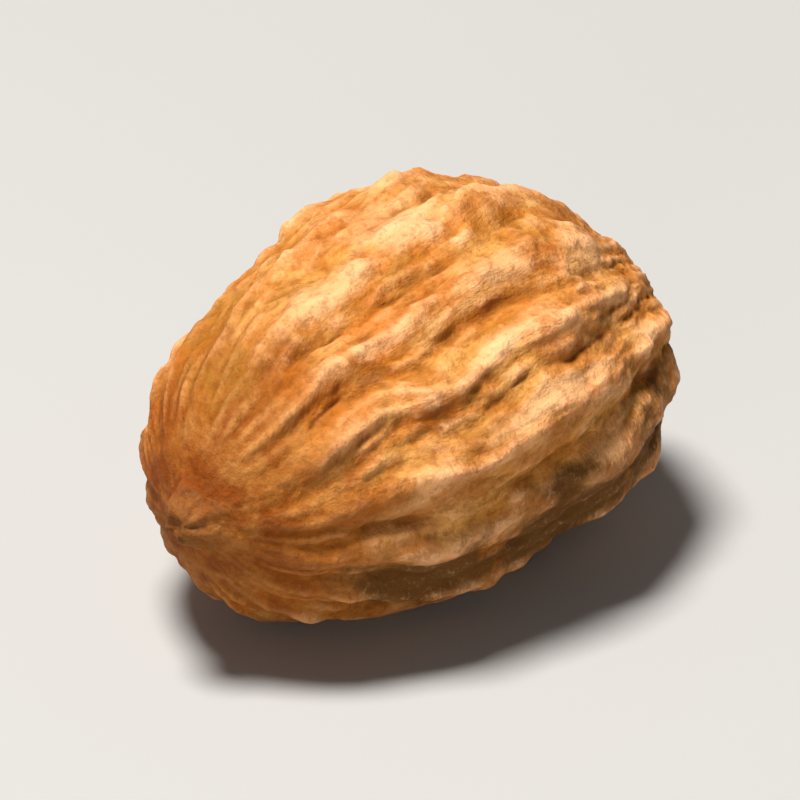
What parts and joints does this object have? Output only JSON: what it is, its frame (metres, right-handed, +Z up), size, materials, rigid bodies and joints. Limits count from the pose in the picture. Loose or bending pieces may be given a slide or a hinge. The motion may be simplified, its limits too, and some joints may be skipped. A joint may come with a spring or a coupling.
{
  "type": "dried sharp-leaf galangal fruit",
  "caption": "Whole dried spice fruit lying on its side: a spindle-shaped, knobbly ribbed pod with a small stalk stump at one end and a dry flower scar at the other.",
  "frame": {"origin": "on the surface the fruit lies on, under the middle of its box", "axes": "+X along the fruit from the stalk stump to the flower scar, +Z up"},
  "size_m": [0.0166, 0.0106, 0.01],
  "materials": {
    "husk": "dry, matt, golden brown husk with paler rib crests and darker grooves"
  },
  "bodies": {
    "root": {"galangal_fruit": "husk"}
  },
  "joints": []
}
